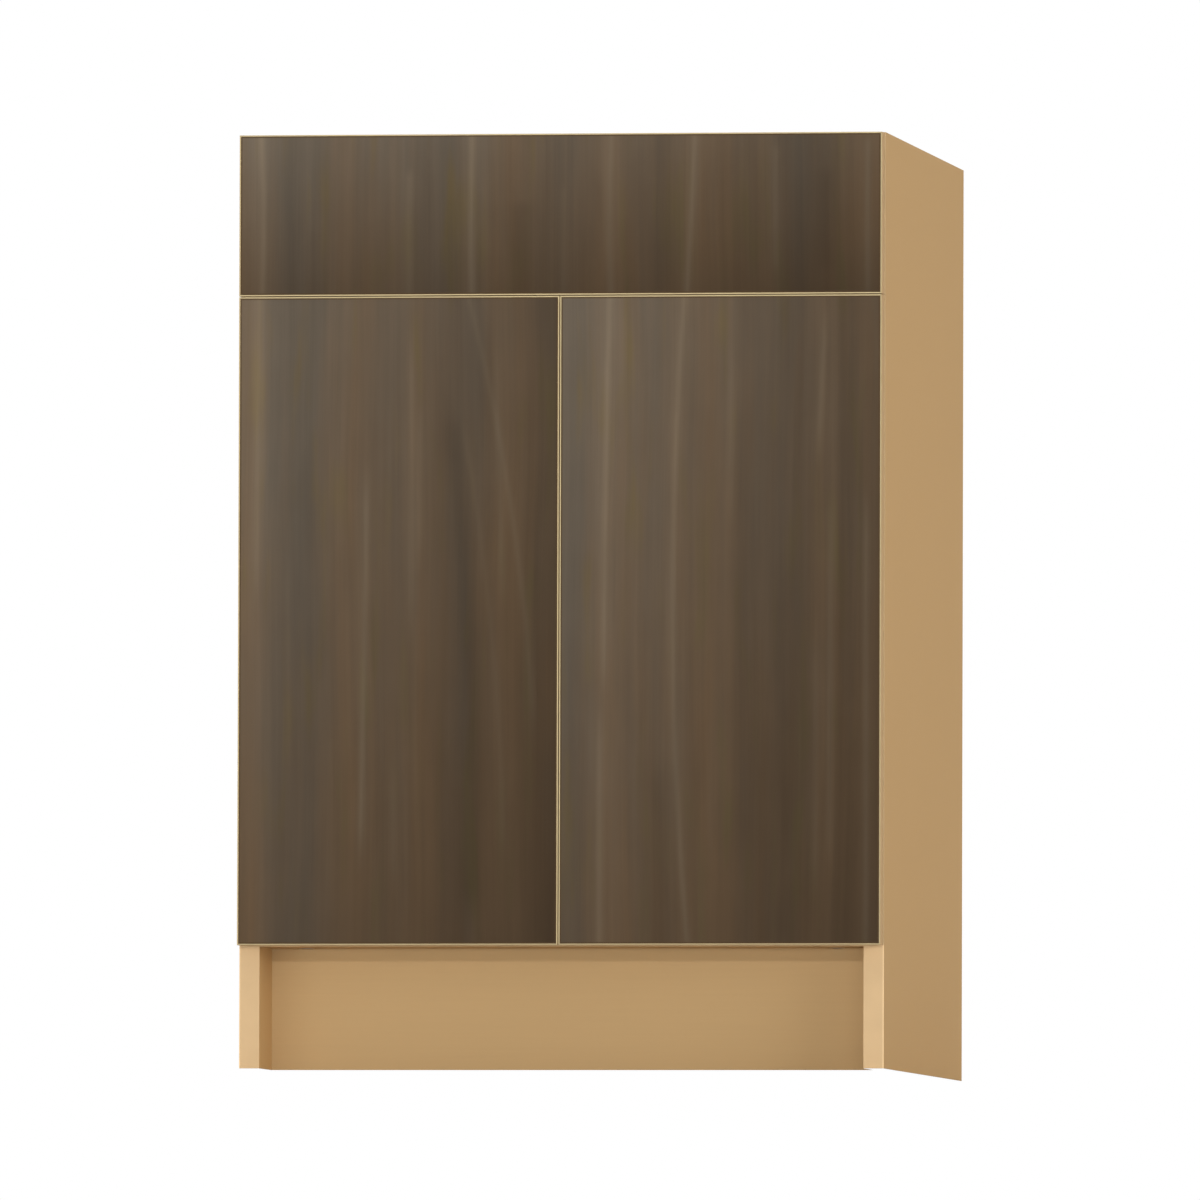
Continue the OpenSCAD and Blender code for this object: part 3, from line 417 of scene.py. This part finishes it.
def walnutFront(name, front):
    finish = Finish("walnut_" + name, IOR=boardIor, Specular_IOR_Level=walnut["sheen"])
    low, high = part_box(name)
    width = high.x - low.x
    x, y, z = finish.place
    bend = figureNoise(finish, "bend", x, y, z)
    ripple = figureNoise(finish, "ripple", x, y, z)
    drift = x + bend * walnut["bend"]["amount"] + ripple * walnut["ripple"]["amount"]
    u = (drift - low.x) / width
    v = (z - low.z) / (high.z - low.z)
    across = (x + ripple * walnut["ripple"]["inLines"] - low.x) / width

    # how light it is: streaks, noises, pale lines, dark shades, and painted light and shade, a painted sheen
    # lighter at the top left and darker at the bottom right
    medium, fine, cloud = [figureNoise(finish, n, drift, y, z) for n in ("medium", "fine", "cloud")]
    tone = (finish.ramp(u, front["streaks"]) - 1) * walnut["contrast"] + 1
    for noise, kind in ((medium, "medium"), (fine, "fine"), (cloud, "cloud")):
        tone = tone + noise * walnut[kind]["amount"]
    pale = sum(figureLine(across, v, walnut["lineWidth"] / width, line) for line in front["lines"])
    shade = sum(figureLine(across, v, walnut["shadeWidth"] / width, line) for line in front["shades"])
    # painted light and shade from the four corner values, a painted sheen over the front
    top = front["topLeft"] + u * (front["topRight"] - front["topLeft"])
    bottom = front["bottomLeft"] + u * (front["bottomRight"] - front["bottomLeft"])
    light = tone * (bottom + (top - bottom) * v) * (1 - walnut["shadeDepth"] * shade)

    # how warm it is, with ochre patches here and there
    warm, gold = walnut["warmth"], walnut["gold"]
    warmth = (finish.ramp(u, front["warmth"]) - 0.5) * walnut["hueContrast"]
    warmth = warmth + figureNoise(finish, "patch", drift, y, z) * walnut["patch"]["amount"]
    warmth = warmth + (warm["topLeft"] + warm["down"]) + u * warm["right"] - v * warm["down"]
    ochre = figureNoise(finish, "gold", drift, y, z).rise(gold["from"], gold["to"])
    surface = finish.blend(warmth, walnut["cool"], walnut["warm"])
    surface = finish.blend(ochre, surface, walnut["ochre"])
    surface = finish.blend(pale, surface, walnut["pale"])
    surface = finish.tone(surface, light ** walnut["lightPower"])

    # painted shade: a darker line along the front's edges, where they meet the gaps
    inside = (x - low.x).least(high.x - x).least(z - low.z).least(high.z - z)
    atEdgeShade = (inside < walnut["edgeShadeWidth"]) * walnut["edgeShadeShare"]
    surface = finish.blend(atEdgeShade, surface, walnut["edge"])
    onFace = finish.facing(1)
    finish.colour(finish.blend(onFace, chipCore(finish), surface))
    vary = fine * walnut["roughnessVary"]
    finish.rough(walnut["roughness"] + vary + (1 - onFace) * walnut["coreRougher"])
    finish.relief(fine + medium * walnut["medium"]["inRelief"], walnut["relief"])
    finish.paint(name)


for name, front in fronts.items():
    walnutFront(name, front)
print("fronts painted")


# Birch plywood of the drawer box: face veneer, and plies on its edges
birch = {
    "light": fromScreen(222, 198, 160),
    "dark": fromScreen(203, 173, 130),
    "darkPly": fromScreen(176, 140, 98),
    "plyThickness": 0.0014,
    "plyPores": 0.25,
    "figurePerMetre": 70,
    "figureContrast": 1.6,
    "poresPerMetre": 900,
    "poreContrast": 0.12,
    "grainStretch": 0.05,
    "roughness": 0.42,
    "roughnessVary": 0.2,
    "edgeRougher": 0.25,
    "relief": 0.00004,
}


def birchPly(name, face, grain):
    finish = Finish(name, IOR=boardIor)
    stretch = alongGrain(grain, birch["grainStretch"])
    figure = finish.noise(finish.spread(birch["figurePerMetre"], stretch), 3, 0.6)
    pores = finish.noise(finish.spread(birch["poresPerMetre"], stretch), 2)
    veneer = finish.blend((figure - 0.5) * birch["figureContrast"] + 0.5, birch["light"], birch["dark"])
    veneer = finish.tone(veneer, 1 + (pores - 0.5) * birch["poreContrast"])
    ply = (finish.place[face] + 1).repeat(2 * birch["plyThickness"]) > birch["plyThickness"]
    edge = finish.blend(ply * (1 + (pores - 1) * birch["plyPores"]), birch["light"], birch["darkPly"])
    onFace = finish.facing(face)
    finish.colour(finish.blend(onFace, edge, veneer))
    vary = (pores - 0.5) * birch["roughnessVary"]
    finish.rough(birch["roughness"] + vary + (1 - onFace) * birch["edgeRougher"])
    finish.relief(pores, birch["relief"])
    return finish


birchPly("birch_sides", 0, 1).paint("drawer_left_side", "drawer_right_side")
birchPly("birch_ends", 1, 0).paint("drawer_box_front", "drawer_box_back")
birchPly("birch_bottom", 2, 1).paint("drawer_bottom")
birchPly("beech_dowels", 2, 0).paint("dowels")
print("drawer box painted")


# Metals: colour, how metallic, roughness, how far fine lines vary it, and the stretch of these lines
metals = {
    "zinc_plate": {"colour": fromScreen(214, 217, 222), "metal": 0.85, "roughness": 0.36, "vary": 0.16,
                   "stretch": (1, 0.03, 1),
                   "nodes": ["left_cabinet_runner", "right_cabinet_runner", "left_middle_runner",
                             "right_middle_runner", "left_drawer_runner", "right_drawer_runner",
                             "outer_ball_cages", "inner_ball_cages"]},
    "nickel": {"colour": fromScreen(212, 206, 198), "metal": 0.95, "roughness": 0.24, "vary": 0.12,
               "stretch": (1, 1, 0.1),
               "nodes": ["left_hinge_plates", "right_hinge_plates", "left_hinge_arms", "right_hinge_arms",
                         "left_hinge_cups", "right_hinge_cups", "left_outer_links", "right_outer_links",
                         "left_inner_links", "right_inner_links"]},
    "polished_steel": {"colour": fromScreen(224, 224, 226), "metal": 1, "roughness": 0.14, "vary": 0.06,
                       "stretch": (1, 1, 1),
                       "nodes": ["outer_balls", "inner_balls", "hinge_arm_pins", "left_cup_pins",
                                 "right_cup_pins", "shelf_pins"]},
    "zinc_screws": {"colour": fromScreen(206, 208, 210), "metal": 0.9, "roughness": 0.36, "vary": 0.2,
                    "stretch": (1, 1, 1),
                    "nodes": ["system_screws", "drawer_screws", "left_cup_screws", "right_cup_screws",
                              "cam_bolts", "cam_locks"]},
}
metalSurface = {"linesPerMetre": 500, "mottlesPerMetre": 40, "mottle": 0.12, "relief": 0.00001}


def metalFinish(name, metal):
    finish = Finish(name, Metallic=metal["metal"])
    lines = finish.noise(finish.spread(metalSurface["linesPerMetre"], metal["stretch"]), 3, 0.6)
    mottle = finish.noise(finish.spread(metalSurface["mottlesPerMetre"], metal["stretch"]), 1)
    finish.colour(finish.tone(metal["colour"], 1 + (mottle - 0.5) * metalSurface["mottle"]))
    finish.rough(metal["roughness"] + (lines - 0.5) * metal["vary"])
    finish.relief(lines, metalSurface["relief"])
    finish.paint(*metal["nodes"])


for name, metal in metals.items():
    metalFinish(name, metal)

bumpers = {"colour": fromScreen(226, 228, 226), "ior": 1.42, "clear": 0.6, "roughness": 0.35,
           "roughnessVary": 0.15, "dust": 0.1, "dustPerMetre": 900}
finish = Finish("bumper_silicone", IOR=bumpers["ior"], Transmission_Weight=bumpers["clear"])
dust = finish.noise(finish.spread(bumpers["dustPerMetre"]), 2) - 0.5
finish.colour(finish.tone(bumpers["colour"], 1 + dust * bumpers["dust"]))
finish.rough(bumpers["roughness"] + dust * bumpers["roughnessVary"])
finish.paint("left_door_bumpers", "right_door_bumpers", "drawer_bumpers")
print("fittings painted")


# Floor: pale and plain, seen from above, and lost in the white room far out; the camera stands a little
# lower and looks through it, except where the cabinet stands on it
floor = {"size": 80, "drop": 0.0001, "lead": 0.0024, "colour": fromScreen(238, 238, 236),
         "roughness": 0.9, "ior": 1.2, "mottle": 0.02, "mottlesPerMetre": 30,
         "fadeFrom": 1.6, "fadeTo": 4.2}
bpy.ops.mesh.primitive_plane_add(size=floor["size"], location=(0, 0, -floor["drop"]))
floorPlane = bpy.context.object
floorPlane.name = "floor"
finish = Finish("floor_paint", Roughness=floor["roughness"], IOR=floor["ior"])
x, y, z = finish.place
mottle = finish.noise(finish.spread(floor["mottlesPerMetre"]), 3) - 0.5
finish.colour(finish.tone(floor["colour"], 1 + mottle * floor["mottle"]))
side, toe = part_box("right_side"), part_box("toe_board")
underSide = (abs(x) > side[0].x) * (y > side[0].y - floor["lead"])
underToe = y > toe[0].y - floor["lead"]
underCabinet = (underSide + underToe) * (abs(x) < side[1].x) * (y < side[1].y) > 0.5
seen = finish.add("ShaderNodeLightPath", {}, {}, "Is Camera Ray")
under = finish.add("ShaderNodeNewGeometry", {}, {}, "Backfacing")
clear = finish.add("ShaderNodeBsdfTransparent", {}, {})
white = finish.add("ShaderNodeEmission", {}, {"Strength": 1})
fromBelow = finish.add("ShaderNodeMixShader", {}, {0: underCabinet, 1: clear, 2: white})
painted = Wire(finish, finish.shader.outputs[0])
farOut = (x * x + y * y).rise(floor["fadeFrom"] ** 2, floor["fadeTo"] ** 2)
cover = finish.add("ShaderNodeMixShader", {}, {0: seen * (under + farOut), 1: painted, 2: fromBelow})
finish.feed(finish.tree.nodes["Material Output"], "Surface", cover)
floorPlane.data.materials.append(finish.material)
print("floor laid")


# Light: a white room, a low key lamp from the front, and wide soft lamps all round and above
light = {
    "room": 0.25,
    "target": (0, 0, 0.4),
    "key": {"strength": 0.58, "elevation": 7.6, "azimuth": 4, "angle": 1.6, "away": 5},
    "front": {"place": (-0.5, -6.3, 0.16), "size": (6, 0.3), "power": 128},
    "right": {"place": (5.4, -3.1, 1.08), "size": (5.2, 2.1), "power": 150},
    "left": {"place": (-6, 0.4, 1.9), "size": (5.6, 3.2), "power": 135},
    "rear": {"place": (0.7, 6, 1.9), "size": (5.6, 3.2), "power": 135},
    "top": {"place": (0, -0.3, 5), "size": (7, 7), "power": 200},
}


def addToScene(name, data):
    made = bpy.data.objects.new(name, data)
    bpy.context.scene.collection.objects.link(made)
    return made


def aim(thing, place, target):
    # point a lamp or the camera
    thing.location = place
    thing.rotation_euler = (Vector(target) - Vector(place)).to_track_quat("-Z", "Y").to_euler()


def softLamp(name, lamp):
    data = bpy.data.lights.new(name, "AREA")
    data.shape = "RECTANGLE"
    data.size, data.size_y = lamp["size"]
    data.energy = lamp["power"]
    made = addToScene(name, data)
    aim(made, lamp["place"], light["target"])
    made.visible_camera = False
    made.visible_glossy = False


def keyLamp(lamp):
    data = bpy.data.lights.new("key", "SUN")
    data.energy = lamp["strength"]
    data.angle = math.radians(lamp["angle"])
    turn, lift = math.radians(lamp["azimuth"]), math.radians(lamp["elevation"])
    toLamp = Vector((math.sin(turn) * math.cos(lift), -math.cos(turn) * math.cos(lift), math.sin(lift)))
    aim(addToScene("key", data), lamp["away"] * toLamp, (0, 0, 0))


# the room is white to the camera and in metal and silicone, and dimmer as a light
world = bpy.data.worlds.new("room")
bpy.context.scene.world = world
room = Board(world)
sky = room.tree.nodes["Background"]
sky.inputs["Color"].default_value = (1, 1, 1, 1)
rays = [room.add("ShaderNodeLightPath", {}, {}, "Is " + ray + " Ray")
        for ray in ("Camera", "Glossy", "Transmission")]
room.feed(sky, "Strength", (sum(rays) > 0.5) * (1 - light["room"]) + light["room"])
for name in ("front", "right", "left", "rear", "top"):
    softLamp(name, light[name])
keyLamp(light["key"])
print("lit")


# Camera: far in front, turned 8 degrees to the right and a little below the floor, which comes near
# to the photograph's square front with its side beside it
view = {"place": (2.93, -20.705, -0.422), "target": (0.0389, -0.3048, 0.4379), "width": 1.1231,
        "roll": 0.167, "sensor": 36, "farthest": 200}
camera = bpy.data.cameras.new("camera")
cameraObject = addToScene("camera", camera)
aim(cameraObject, view["place"], view["target"])
cameraObject.rotation_euler.rotate_axis("Z", math.radians(view["roll"]))
reach = (Vector(view["target"]) - Vector(view["place"])).length
camera.sensor_width = view["sensor"]
camera.lens = view["sensor"] * reach / view["width"]
camera.clip_end = view["farthest"]
bpy.context.scene.camera = cameraObject
bpy.context.scene.view_settings.view_transform = "Standard"
print("camera set")
